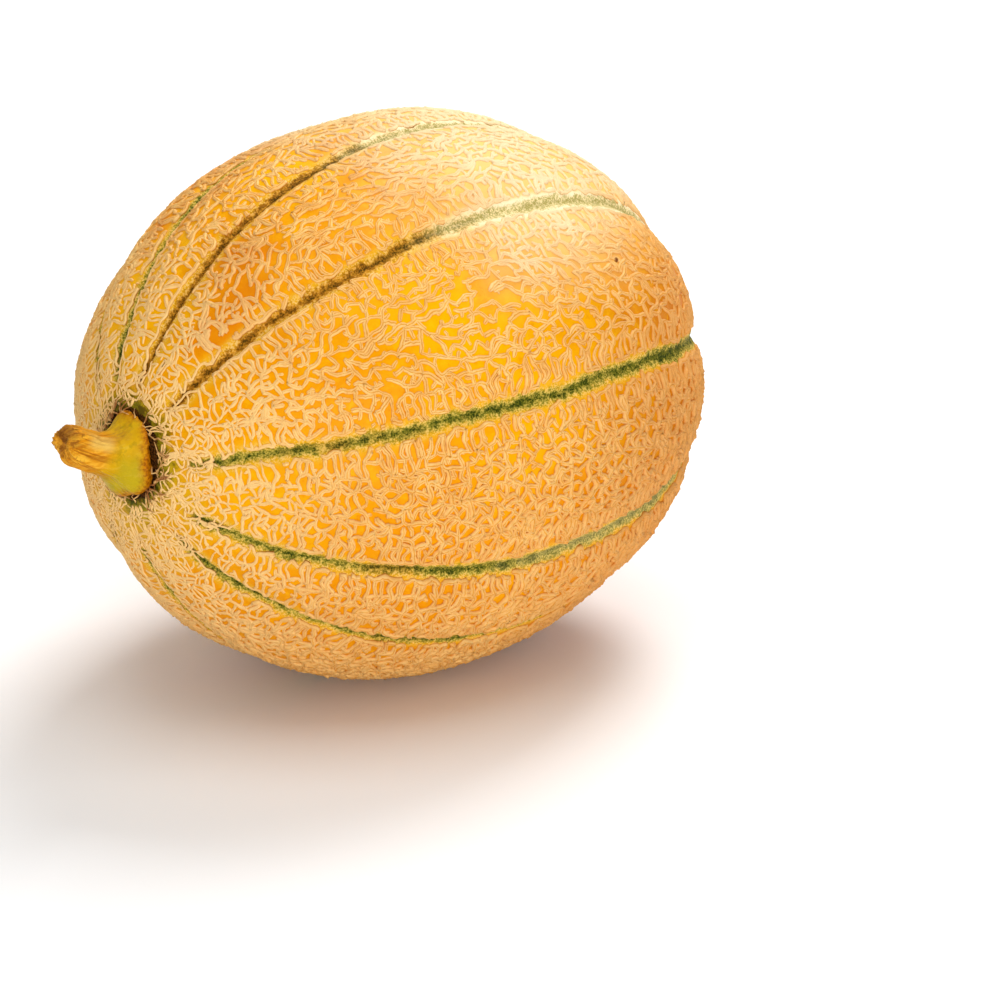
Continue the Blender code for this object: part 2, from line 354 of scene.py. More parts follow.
def makeRind():
    deselectAll()
    bpy.ops.mesh.primitive_uv_sphere_add(
        segments=rind["segments"], ring_count=rind["rings"], radius=1, rotation=(0, -math.pi / 2, 0))
    obj = bpy.context.object
    obj.name = "rind"
    bpy.ops.object.transform_apply(location=False, rotation=True, scale=False)
    unit = getPoints(obj)
    unit /= np.linalg.norm(unit, axis=1, keepdims=True)
    fromStem = np.arccos(np.clip(-unit[:, 0], -1, 1))
    around = np.arctan2(unit[:, 2], unit[:, 1]) % fullTurn
    length = np.interp(fromStem, tableAngles, tableLength)
    fromBlossom = skinLength - length
    ribHere, across = ribPlace(around)
    ribNext = (ribHere + 1) % ribCount
    radius = radiusAt(length)
    toFirst = np.abs(across * ribWidths[ribHere] * radius - wanderAt(length, ribHere))
    toSecond = np.abs((1 - across) * ribWidths[ribHere] * radius + wanderAt(length, ribNext))
    nearest = np.minimum(toFirst, toSecond)
    which = np.where(toFirst < toSecond, ribHere, ribNext)
    start = rind["sutureFrom"]
    stemGrowth, blossomGrowth = rind["sutureGrowth"]
    amount = easeStep(start, start + stemGrowth, length) * easeStep(start, start + blossomGrowth, fromBlossom)
    groove = -rind["grooveDepth"] * np.exp(-(nearest / (rind["grooveWidth"] * 1000)) ** 2) * amount
    offGround = easeStep(*rind["groundFade"], np.arccos(np.clip(-unit[:, 2], -1, 1)))
    points = skinPoints(fromStem, around, groove * offGround)

    # the shallow seat round the stem
    seat = rind["seatCentre"]
    fromSeat = np.hypot((points[:, 1] - seat[1]) / rind["seatNarrower"], points[:, 2] - seat[2])
    atStem = points[:, 0] < middle[0]
    fromSeat = np.where(atStem, fromSeat, 1.0)
    rimOut, rimIn = rind["seatRim"]
    sunk = easeStep(rind["seatRadius"] + rimOut, rind["seatRadius"] - rimIn, fromSeat)
    sunk = np.where(atStem, sunk, 0)
    pressed = np.maximum(points[:, 0], points[:, 0] * (1 - sunk) + (seat[0] - rind["seatUnder"]) * sunk)
    points[:, 0] = np.where(sunk > 0, pressed, points[:, 0])

    # the round scar at the blossom end
    scar = easeStep(rind["scarRadius"], rind["scarRadius"] - rind["scarRim"], fromBlossom / 1000)
    points[:, 0] -= rind["scarDepth"] * scar
    setPoints(obj, points)
    addNumbers(obj, toSuture=nearest, sutureAmount=amount, whichSuture=which, fromStemMm=length,
               fromSeatMm=np.minimum(fromSeat * 1000, 100), fromBlossomMm=fromBlossom)
    faceOut(obj)
    print("rind faces:", len(obj.data.polygons))
    return obj


# the net: borders of uneven cells, linked into long cords and wrapped onto the skin
net = {
    "seed": 7,
    "pixel": 0.30,  # mm, how finely the cells' borders are traced
    "from": 7.6,  # mm along the skin from the stem end
    "seatBare": 12.9,  # mm from the middle of the stem
    "stopBefore": 6.6,  # mm before the blossom end
    "bareStrip": 2.75,  # mm beside a suture
    "stripShare": (0.74, 0.38),  # of that: at first, and how much more it becomes
    "crossStem": (25.0, 36.0),  # the net crosses the sutures before this
    "crossBlossom": (16.0, 26.0),
    "combStep": 2.05,  # the row of short cells beside a suture
    "combLength": 5.2,
    "crowding": 0.84,
    "combCrowding": 0.86,
    "bin": 5.0,  # mm, for finding a cell's neighbours
    "swirlRadius": 70,
    "tries": 90000,
    "stemTries": 50000,  # more, for the finer cells near the stem
    "fineUntil": 62.0,
    "wobble": 0.66,
    "scallop": 0.50,
    "cutShare": 0.22,
    "stripCutShare": 0.40,
    "kept": (0.4, 0.55, 0.65, 0.75),
    "keptAtStrip": (0.0, 0.35, 0.5, 0.6),
    "sharpestTurn": 62,  # degrees between two borders of one cord
    "longest": 90,
    "spurSpacing": 2.5,
    "spurLength": (1.3, 3.4),
    "spurStep": 0.62,
    "spurClearance": 0.88,
    "scarCord": 7.1,  # mm before the blossom end
    "scarCordSize": 1.22,
    "cordStep": 0.82,
    "ragged": 0.00007,
    "capMerge": 0.000001,
    "boxInset": 0.00002,  # kept free inside the solids' box
    # a cord's cross-section in mm: a low arch with a faint dip along its top, its root below
    "profile": ((-0.64, -0.14), (-0.46, 0.17), (-0.26, 0.42), (0.0, 0.36),
                (0.26, 0.42), (0.46, 0.17), (0.64, -0.14)),
    "tops": (0.1, 0.7, 1.0, 0.0, 1.0, 0.7, 0.1),  # 1 on a cord's pale shoulders
    # 1 at a cord's root, where shade is painted along its edges
    "skirts": (1.0, 0.3, 0.0, 0.0, 0.0, 0.3, 1.0),
}
cells = {  # sizes along and across a rib in mm
    "side": (2.45, 2.45),
    "top": (3.1, -0.3),  # added on the upper ribs
    "atSuture": (2.3, 3.7),
    "atStem": (1.80, 1.35),
    "atBlossom": (2.0, 3.5),
    "unevenness": 0.55,
}
netEnd = skinLength - net["stopBefore"]
ringTable = [float(radiusAt(i * 0.25)) for i in range(int(skinLength * 4) + 8)]
sutureList = [float(angle) for angle in sutureAngles]
widthList = [float(width) for width in ribWidths]


def ring(s):
    return ringTable[max(0, min(len(ringTable) - 1, int(s * 4 + 0.5)))]


def swirl(s, around, scale, layer):  # soft noise over the fruit, without a seam
    radius = net["swirlRadius"]
    place = s * scale + layer * 13.7, math.cos(around) * radius * scale, math.sin(around) * radius * scale
    return noise.noise(Vector(place))


def ribOf(around):
    around %= fullTurn
    for k in range(ribCount):
        past = (around - sutureList[k]) % fullTurn
        if past < widthList[k]:
            return k, past
    return 0, 0.0


def edgeDistance(s, around):  # mm to the nearer suture
    k, past = ribOf(around)
    return min(past, widthList[k] - past) * ring(s)


def bareStrip(s):  # half the width of the strip that the net leaves free at a suture
    free = min(ramp(s, *net["crossStem"]), ramp(skinLength - s, *net["crossBlossom"]))
    first, more = net["stripShare"]
    return net["bareStrip"] * free ** 0.6 * (first + more * ramp(s, 35, 115))


def cellShape(s, around):  # a cell's size along and across the rib in mm, and its turn
    strip = bareStrip(s)
    edge = edgeDistance(s, around) - strip
    top = min(1.0, max(0.0, 1.7 * math.sin(around)))
    soft = swirl(s, around, 0.055, 1)
    fine = swirl(s, around, 0.16, 2)
    along = cells["side"][0] + cells["top"][0] * top * ramp(s, 35, 65)
    across = cells["side"][1] + cells["top"][1] * top
    turn = 1.1 * soft + 0.7 * fine + (1 - top) * 0.7
    places = (
        ("atSuture", ramp(edge, 8.5, 4.5) if strip > 0.4 else 0.0, 1.0),
        ("atStem", ramp(s, 64, 26), 0.7),
        ("atBlossom", ramp(skinLength - s, 75, 35), 0.6),
    )
    for name, share, straighter in places:
        along += (cells[name][0] - along) * share
        across += (cells[name][1] - across) * share
        turn *= 1 - straighter * share
    grown = 1 + cells["unevenness"] * swirl(s, around, 0.10, 3)
    return along * grown, across * grown, turn


def apart(site, s, around, shape):  # distance in cell sizes
    ds = s - site[0]
    dt = turnBetween(site[1], around) * ring((s + site[0]) / 2)
    c, n = math.cos(shape[2]), math.sin(shape[2])
    return math.hypot((ds * c + dt * n) / shape[0], (-ds * n + dt * c) / shape[1])


def scatterCells():
    chance = random.Random(net["seed"])
    sites, rows = [], {}
    size = net["bin"]
    binAngle = size / 72
    binCount = int(fullTurn / binAngle) + 1

    def keep(s, around, shape, comb):
        around %= fullTurn
        sites.append((s, around, shape, comb))
        rows.setdefault((int(s / size), int(around / binAngle)), []).append(len(sites) - 1)

    def crowded(s, around, shape):
        wide = int(6.0 / ring(s) / binAngle) + 1
        column = int(around / binAngle)
        for i in range(int(s / size) - 1, int(s / size) + 2):
            for j in range(column - wide, column + wide + 1):
                for index in rows.get((i, j % binCount), ()):
                    limit = net["crowding"] * (net["combCrowding"] if sites[index][3] else 1.0)
                    if apart(sites[index], s, around, shape) < limit:
                        return True
        return False

    # first the rows of short cells beside the sutures
    combStep, combLength = net["combStep"], net["combLength"]
    for k in range(ribCount):
        for side in (-1, 1):
            s = net["crossStem"][1] - 6
            while s < skinLength - net["crossBlossom"][1] + 4:
                inset = bareStrip(s) + combLength * chance.uniform(0.42, 0.60)
                around = sutureList[k] + side * inset / ring(s)
                if edgeDistance(s, around) > inset - 0.2:
                    shape = combStep, combLength * chance.uniform(0.85, 1.15), side * chance.gauss(0, 0.10)
                    keep(s, around, shape, True)
                s += combStep * chance.uniform(0.72, 1.28)

    # then the rest wherever there is room
    widest = max(ringTable)
    for attempt in range(net["tries"] + net["stemTries"]):
        everywhere = attempt < net["tries"]
        s = chance.uniform(net["from"] - 2, netEnd + 2 if everywhere else net["fineUntil"])
        if chance.random() * (widest if everywhere else ring(net["fineUntil"])) > ring(s):
            continue
        around = chance.uniform(0, fullTurn)
        strip = bareStrip(s)
        if strip > 0.4 and edgeDistance(s, around) < strip + combLength * 0.80:
            continue
        shape = cellShape(s, around)
        if not crowded(s, around, shape):
            keep(s, around, shape, False)
    return sites


def wavesOver(points, wavelengths, count, seed):  # smooth random field of about -1 to 1 over points in mm
    rng = np.random.default_rng(seed)
    total = np.zeros(points[0].shape, np.float32)
    for _ in range(count):
        way = rng.normal(size=3)
        way *= fullTurn / rng.uniform(*wavelengths) / np.linalg.norm(way)
        phase = points[0] * way[0] + points[1] * way[1] + points[2] * way[2] + rng.uniform(0, 6.28)
        total += np.sin(phase).astype(np.float32)
    return total / math.sqrt(count / 2)


def traceCells(sites):  # which cell each small square of the skin belongs to
    px = net["pixel"]
    rowS = np.arange(net["from"], netEnd, px)
    columns = int(fullTurn * max(ringTable) / px)
    columnTurn = fullTurn / columns
    colA = np.arange(columns) * fullTurn / columns
    rowR = radiusAt(rowS)
    rowX = np.interp(rowS, tableLength, tableX)
    grid = rowX[:, None] + 0 * colA, rowR[:, None] * np.cos(colA), rowR[:, None] * np.sin(colA)
    grid = tuple(axis.astype(np.float32) for axis in grid)
    warpS = net["wobble"] * wavesOver(grid, (2.6, 6.0), 22, 21)
    warpT = net["wobble"] * wavesOver(grid, (2.6, 6.0), 22, 22)
    colRib = ribPlace(colA)[0]
    parted = np.array([bareStrip(s) > 0.3 for s in rowS])
    best = np.full(warpS.shape, 9.0, np.float32)
    label = np.full(warpS.shape, -1, np.int32)
    for index, (s0, a0, (along, across, turn), comb) in enumerate(sites):
        reach = 1.5 * max(along, across) + 1.0
        r0 = max(0, int((s0 - reach - rowS[0]) / px))
        r1 = min(len(rowS), int((s0 + reach - rowS[0]) / px) + 1)
        if r1 <= r0:
            continue
        wide = min(columns // 2 - 1, int(reach / max(4.0, ring(s0) * 0.9) / columnTurn))
        middleColumn = int(round(a0 / columnTurn))
        cols = np.arange(middleColumn - wide, middleColumn + wide + 1)
        dt = (cols * columnTurn - a0)[None, :] * rowR[r0:r1, None]
        cols %= columns
        part = np.ix_(range(r0, r1), cols)
        ds = rowS[r0:r1, None] - s0 + warpS[part]
        dt = dt + warpT[part]
        c, n = math.cos(turn), math.sin(turn)
        away = np.hypot((ds * c + dt * n) / along, (-ds * n + dt * c) / across)
        siteRib = ribOf(a0)[0]
        away[parted[r0:r1, None] & (colRib[cols] != siteRib)[None, :]] = 99
        old = best[part]
        nearer = away < old
        best[part] = np.where(nearer, away, old)
        label[part] = np.where(nearer, index, label[part])
    share = ribPlace(colA)[1]
    nearWidth = np.minimum(share, 1 - share) * ribWidths[colRib]
    strip = np.array([bareStrip(s) for s in rowS])[:, None]
    scallop = net["scallop"] * wavesOver(grid, (2.2, 5.0), 18, 23)
    inStrip = nearWidth[None, :] * rowR[:, None] < strip + np.where(strip > 0.3, scallop, 0)
    inStrip &= strip > 0.3
    label[inStrip] = len(sites)
    seatY = (stem["base"][1] - middle[1] - fruitShape["stemEndOffset"][0]) * 1000
    seatZ = (stem["base"][2] - middle[2] - fruitShape["stemEndOffset"][1]) * 1000
    fromSeat = np.hypot((grid[1] - seatY) / rind["seatNarrower"], grid[2] - seatZ)
    label[(fromSeat < net["seatBare"] + scallop) & (rowS < 40)[:, None]] = -1
    return rowS, colA, label


def traceBorders(sites):  # each border between two cells as a line of points, and the corners it runs between
    rowS, colA, label = traceCells(sites)
    px = net["pixel"]
    turnStep = fullTurn / len(colA)
    right = np.roll(label, -1, axis=1)
    i1, j1 = np.nonzero((label != right) & (label >= 0) & (right >= 0))
    i2, j2 = np.nonzero((label[:-1] != label[1:]) & (label[:-1] >= 0) & (label[1:] >= 0))
    first = np.concatenate([label[i1, j1], label[i2, j2]]).astype(np.int64)
    second = np.concatenate([right[i1, j1], label[i2 + 1, j2]]).astype(np.int64)
    s = np.concatenate([rowS[i1], rowS[i2] + px / 2])
    a = np.concatenate([colA[j1] + turnStep / 2, colA[j2]])
    pair = np.minimum(first, second) * 100000 + np.maximum(first, second)
    order = np.argsort(pair, kind="stable")
    pair, s, a = pair[order], s[order], a[order]
    starts = np.concatenate([[0], np.nonzero(np.diff(pair))[0] + 1, [len(pair)]])
    four = np.stack([label[:-1], label[1:], right[:-1], right[1:]])
    ordered = np.sort(four, axis=0)
    kinds = 1 + (np.diff(ordered, axis=0) != 0).sum(axis=0)
    ni, nj = np.nonzero((kinds >= 3) & (ordered[0] >= 0))
    corners = {}
    for i, j in zip(ni.tolist(), nj.tolist()):
        names = frozenset(ordered[:, i, j].tolist())
        place = (rowS[i] + px / 2, colA[j] + turnStep / 2)
        corners.setdefault(names, []).append(place)
    cornerPlace, byPair = {}, {}
    for names, places in corners.items():
        base = places[0][1]
        mean = base + sum(turnBetween(base, p[1]) for p in places) / len(places)
        cornerPlace[names] = (sum(p[0] for p in places) / len(places), mean)
        listed = sorted(names)
        for x in range(len(listed)):
            for y in range(x + 1, len(listed)):
                byPair.setdefault(listed[x] * 100000 + listed[y], []).append(names)
    borders = []
    for lo, hi in zip(starts[:-1], starts[1:]):
        key = int(pair[lo])
        ends = byPair.get(key, [])
        base = float(a[lo])
        scale = ring(float(s[lo]))
        xs = s[lo:hi]
        ys = turnBetween(base, a[lo:hi]) * scale
        local = {e: (cornerPlace[e][0], turnBetween(base, cornerPlace[e][1]) * scale) for e in ends}
        pairEnds = [None, None]
        if len(ends) >= 2:
            pairs = ((p, q) for p in ends for q in ends if p != q)
            pairEnds = max(pairs, key=lambda e: math.dist(local[e[0]], local[e[1]]))
            p0, p1 = np.array(local[pairEnds[0]]), np.array(local[pairEnds[1]])
        else:
            if hi - lo < 8:
                continue
            spread = np.stack([xs - xs.mean(), ys - ys.mean()])
            way = np.linalg.svd(spread, full_matrices=False)[0][:, 0]
            along = spread.T @ way
            p0 = np.array([xs.mean(), ys.mean()]) + way * along.min()
            p1 = np.array([xs.mean(), ys.mean()]) + way * along.max()
        span = float(np.linalg.norm(p1 - p0))
        if span < 0.15:
            continue
        way = (p1 - p0) / span
        along = (xs - p0[0]) * way[0] + (ys - p0[1]) * way[1]
        count = max(1, int(round(span / net["cordStep"])))
        slot = np.clip((along / span * count).astype(int), 0, count - 1)
        line = [tuple(p0)]
        for n in range(count):
            here = slot == n
            if count > 1 and here.any():
                line.append((float(xs[here].mean()), float(ys[here].mean())))
        line.append(tuple(p1))
        points = [(x, base + y / scale) for x, y in line]
        borders.append((points, pairEnds[0], pairEnds[1], key % 100000 == len(sites)))
    return borders


def stepBetween(p, q):  # from p to q in mm along and across
    s = (p[0] + q[0]) / 2
    return q[0] - p[0], turnBetween(p[1], q[1]) * ring(s)


def linkCords(borders):  # cut some borders short, then link what is left into long cords
    chance = random.Random(net["seed"] + 1)
    edges = []
    for points, a, b, onStrip in borders:
        mid = points[len(points) // 2]
        span = math.hypot(*stepBetween(points[0], points[-1]))
        top = max(0.0, math.sin(mid[1]))
        ds, dt = stepBetween(points[0], points[-1])
        crosswise = abs(dt) / max(0.01, math.hypot(ds, dt))
        share = net["cutShare"] * (0.55 + 0.9 * top * crosswise)
        if mid[0] < 42:
            share *= 0.5
        if onStrip:
            share = net["stripCutShare"]
        if span > 1.3 and chance.random() < share:
            kept = chance.choice(net["keptAtStrip"] if onStrip else net["kept"])
            if chance.random() < 0.5:
                points, a, b = points[::-1], b, a
            b = None
            points = points[:max(2, int(round(len(points) * kept)))]
            if kept == 0.0:
                continue
        thick = chance.uniform(0.74, 1.18) + (0.12 * top * (1 - crosswise) if mid[0] > 40 else -0.06)
        edges.append([points, a, b, thick])
    at = {}
    for index, edge in enumerate(edges):
        for end in (1, 2):
            if edge[end] is not None:
                at.setdefault(edge[end], []).append(index)
    used, cords = set(), []

    def straightest(corner, before, last, rib):
        best, found = math.radians(net["sharpestTurn"]), None
        dx, dy = stepBetween(before, last)
        for index in at.get(corner, ()):
            if index in used:
                continue
            points, a, b, _ = edges[index]
            line = points if a == corner else points[::-1]
            ex, ey = stepBetween(line[0], line[1])
            turn = abs(turnBetween(math.atan2(dy, dx), math.atan2(ey, ex)))
            if turn < best and ribOf(line[len(line) // 2][1])[0] == rib:
                best, found = turn, (index, line, b if a == corner else a)
        return found

    order = list(range(len(edges)))
    chance.shuffle(order)
    for start in order:
        if start in used:
            continue
        used.add(start)
        points, a, b, thick = edges[start]
        rib = ribOf(points[len(points) // 2][1])[0]
        line, sizes = list(points), [thick] * len(points)
        ends = [a, b]
        for _ in range(2):
            while ends[1] is not None and len(line) < net["longest"]:
                found = straightest(ends[1], line[-2], line[-1], rib)
                if not found:
                    break
                index, more, nextEnd = found
                used.add(index)
                line += more[1:]
                sizes += [edges[index][3]] * (len(more) - 1)
                ends[1] = nextEnd
            line.reverse()
            sizes.reverse()
            ends.reverse()
        if len(line) > 1:
            cords.append((line, sizes, ends[0] is None, ends[1] is None, rib))
    return cords


def addSpurs(cords):  # short side shoots with a free end
    chance = random.Random(net["seed"] + 2)

    def spot(s, around):
        r = ring(s)
        return Vector((float(np.interp(s, tableLength, tableX)), r * math.cos(around), r * math.sin(around)))

    tree = kdtree.KDTree(sum(len(cord[0]) for cord in cords))
    for number, cord in enumerate(cords):
        for place in cord[0]:
            tree.insert(spot(*place), number)
    tree.balance()
    spurs = []
    for number, (line, sizes, _, _, rib) in enumerate(cords):
        i = chance.randint(1, 5)
        while i < len(line) - 1:
            dx, dy = stepBetween(line[i - 1], line[i + 1])
            heading = math.atan2(dy, dx) + chance.choice((-1, 1)) * math.pi / 2 + chance.gauss(0, 0.45)
            s, around = line[i]
            grown, step = [(s, around)], net["spurStep"]
            for n in range(max(1, int(chance.uniform(*net["spurLength"]) / step))):
                s += step * math.cos(heading)
                around += step * math.sin(heading) / ring(s)
                heading += chance.gauss(0, 0.35)
                here = spot(s, around)
                close = any(found[1] != number for found in tree.find_range(here, net["spurClearance"]))
                back = n > 1 and any(found[1] == number for found in tree.find_range(here, 0.5 + 0.35 * n))
                strip = bareStrip(s)
                if close or back or (strip > 0.3 and edgeDistance(s, around) < strip - 0.3):
                    break
                grown.append((s, around))
            if len(grown) > 2:
                spurs.append((grown, [chance.uniform(0.70, 0.98)] * len(grown), False, True, rib))
            i += max(2, int(net["spurSpacing"] * chance.uniform(0.5, 1.6) / net["cordStep"]))
    return spurs


def scarRing():  # a thicker cord round the scar at the blossom end, in one part for each rib
    rings = []
    for rib in range(ribCount):
        count = max(4, int(widthList[rib] * 7.2 / 0.6))
        line = []
        for i in range(count + 1):
            around = sutureList[rib] + widthList[rib] * i / count
            line.append((skinLength - net["scarCord"] + 0.3 * swirl(1.0, around, 0.02, 5), around))
        rings.append((line, [net["scarCordSize"]] * len(line), False, False, rib))
    return rings


def makeCordProfile():
    data = bpy.data.curves.new("cordProfile", "CURVE")
    data.dimensions = "2D"
    spline = data.splines.new("POLY")
    shape = net["profile"]
    spline.points.add(len(shape) - 1)
    for point, (x, y) in zip(spline.points, shape):
        point.co = (x / 1000, y / 1000, 0, 1)
    spline.use_cyclic_u = True
    return addObject("cordProfile", data)


def joinCaps(obj):  # joins the caps at a cord's ends to it, which closes it
    pick(obj)
    bpy.ops.object.mode_set(mode="EDIT")
    bpy.ops.mesh.select_all(action="SELECT")
    bpy.ops.mesh.remove_doubles(threshold=net["capMerge"])
    bpy.ops.object.mode_set(mode="OBJECT")


def soften(values):  # draws each value half way to the mean of its two neighbours
    values[1:-1] = values[1:-1] * 0.5 + (values[:-2] + values[2:]) * 0.25


def addCord(data, cord, rib, centre):  # one cord, laid flat: mm along and across the rib
    line, sizes, startFree, endFree, _ = cord
    s, around = np.array(line).T
    flat = np.column_stack([s, turnBetween(centre, around) * radiusAt(s)])
    soften(flat)
    soften(flat)
    size = np.array(sizes, float)
    soften(size)
    size *= [1 + 0.34 * noise.noise(Vector((x * 0.45, y * 0.45, rib * 9.1))) for x, y in flat]
    size *= 0.58 + 0.42 * easeStep(14, 66, s)  # thinner near the stem
    size *= 1 + 0.22 * easeStep(0.55, -0.10, np.sin(around)) * easeStep(45, 80, s)  # thicker on the low side
    if startFree:
        flat = np.vstack([flat[0] + (flat[0] - flat[1]) * 0.35, flat])
        size = np.concatenate([[size[0] * 0.35], size])
        size[1] *= 0.85
    if endFree:
        flat = np.vstack([flat, flat[-1] + (flat[-1] - flat[-2]) * 0.35])
        size = np.concatenate([size, [size[-1] * 0.35]])
        size[-2] *= 0.85
    spline = data.splines.new("POLY")
    spline.points.add(len(flat) - 1)
    places = np.column_stack([flat / 1000, np.zeros(len(flat)), np.ones(len(flat))])
    spline.points.foreach_set("co", places.astype(np.float32).ravel())
    spline.points.foreach_set("radius", size.astype(np.float32))


def makeNet(rib, cords, profile):
    centre = sutureList[rib] + widthList[rib] / 2
    data = bpy.data.curves.new(f"net{rib + 1:02d}", "CURVE")
    data.dimensions = "2D"
    data.bevel_mode = "OBJECT"
    data.bevel_object = profile
    data.use_fill_caps = True
    for cord in cords:
        addCord(data, cord, rib, centre)
    obj = toMesh(addObject(data.name, data))

    # ragged sides, uneven height, then bent round the fruit
    flat = getPoints(obj)
    spots = np.column_stack([flat[:, :2] * 1000, np.zeros(len(flat))]).astype(np.float32)
    for axis in (0, 1):
        flat[:, axis] += net["ragged"] * wavesOver(spots.T, (0.6, 1.5), 14, 40 + axis)
    length = np.clip(flat[:, 0] * 1000, 0.5, skinLength - 0.5)
    around = centre + flat[:, 1] * 1000 / radiusAt(length)
    lowSide = easeStep(0.65, -0.05, np.sin(around)) * easeStep(30, 70, length)
    flat[:, 2] *= (1 + 0.16 * wavesOver(spots.T, (0.8, 2.6), 12, 43)) * (1 + 0.45 * lowSide)
    points = skinPoints(angleAt(length), around, flat[:, 2])
    inset = net["boxInset"]
    setPoints(obj, np.clip(points, np.array(cadBox[0]) + inset, np.array(cadBox[1]) - inset))
    rows = np.arange(len(flat)) % len(net["profile"])
    if len(flat) % len(net["profile"]):
        print("cord rows do not match:", len(flat))
    shoulder, skirt = np.array(net["tops"])[rows], np.array(net["skirts"])[rows]
    addNumbers(obj, shoulder=shoulder, skirt=skirt, fromStemMm=length)
    joinCaps(obj)
    faceOut(obj)
    print(obj.name, "cords:", len(cords), "faces:", len(obj.data.polygons))
    return obj


def makeNets():
    sites = scatterCells()
    borders = traceBorders(sites)
    cords = linkCords(borders)
    cords += addSpurs(cords) + scarRing()
    print("net cells:", len(sites), "borders:", len(borders), "cords:", len(cords))
    profile = makeCordProfile()
    pieces = []
    for rib in range(ribCount):
        pieces.append(makeNet(rib, [cord for cord in cords if cord[4] == rib], profile))
    bpy.data.objects.remove(profile, do_unlink=True)
    return pieces


# the stem stub
stem = {
    "base": (-0.086669, -0.000802, 0.075796),
    "length": 0.0220,
    "rise": 0.0086,
    "bend": 1.5,
    # share of the length, and the radius there
    "profile": ((0, 0.0101), (0.07, 0.0108), (0.135, 0.0099), (0.225, 0.0076), (0.335, 0.0057),
                (0.48, 0.0047), (0.72, 0.0045), (0.87, 0.0046), (0.95, 0.0042), (1, 0.0031)),
    "narrower": 0.22,
    "sides": 168,
    "cuts": 88,
    "endRings": 9,
    "corners": 5,
    "cornerHeight": 0.06,
    "unevenness": 0.05,
    "fibres": 0.00022,
    "knots": 0.0003,
    "rimTeeth": 0.0005,
    "teethCounts": (17, 23, 31, 44),
    "upperRidge": 0.0006,
    "tipNarrower": 0.16,
    "tipHollow": 0.0007,
    "tipRoughness": 0.0003,
    "tipSlant": (0.0010, 0.0021),  # how far the upper edge reaches out, and the lower edge back
    "endGap": 0.0001,  # kept free at the end of the solids' box
}


def smoothProfile(share):  # the stem's radius, rounded between the listed places
    places, radii = np.array(stem["profile"]).T
    fine = np.linspace(-0.1, 1.1, 601)
    values = np.interp(fine, places, radii)
    kernel = np.exp(-np.linspace(-2, 2, 25) ** 2)
    values = np.convolve(np.pad(values, 12, mode="edge"), kernel / kernel.sum(), mode="valid")
    return np.interp(share, fine, values)


def noiseRound(around, share, crosswise, lengthwise, shift=(0.0, 0.0)):  # noise round and along the stem
    x, y = np.cos(around) * crosswise + shift[0], np.sin(around) * crosswise
    z = share * lengthwise + shift[1]
    return np.array([noise.noise(Vector(place)) for place in zip(x, y, z)])


def makeStemGrid():  # a round bar along X with rings along it and across both its ends
    deselectAll()
    bpy.ops.mesh.primitive_cylinder_add(
        vertices=stem["sides"], radius=1, depth=1, end_fill_type="NGON", rotation=(0, -math.pi / 2, 0))
    obj = bpy.context.object
    obj.name = "stemStub"
    bpy.ops.object.transform_apply(location=False, rotation=True, scale=False)
    mesh = obj.data
    bpy.ops.object.mode_set(mode="EDIT")
    bpy.ops.mesh.select_mode(type="EDGE")
    bpy.ops.mesh.select_all(action="DESELECT")
    bpy.ops.object.mode_set(mode="OBJECT")
    for edge in mesh.edges:
        a, b = (mesh.vertices[i].co for i in edge.vertices)
        edge.select = abs(a.x - b.x) > 0.5
    bpy.ops.object.mode_set(mode="EDIT")
    bpy.ops.mesh.subdivide(number_cuts=stem["cuts"])
    bpy.ops.mesh.select_mode(type="FACE")
    bpy.ops.mesh.select_all(action="DESELECT")
    bpy.ops.object.mode_set(mode="OBJECT")
    for face in mesh.polygons:
        face.select = len(face.vertices) > 10
    bpy.ops.object.mode_set(mode="EDIT")
    for _ in range(stem["endRings"]):
        bpy.ops.mesh.inset(thickness=0.1, depth=0, use_individual=True)
    bpy.ops.mesh.poke()
    bpy.ops.object.mode_set(mode="OBJECT")
    return obj


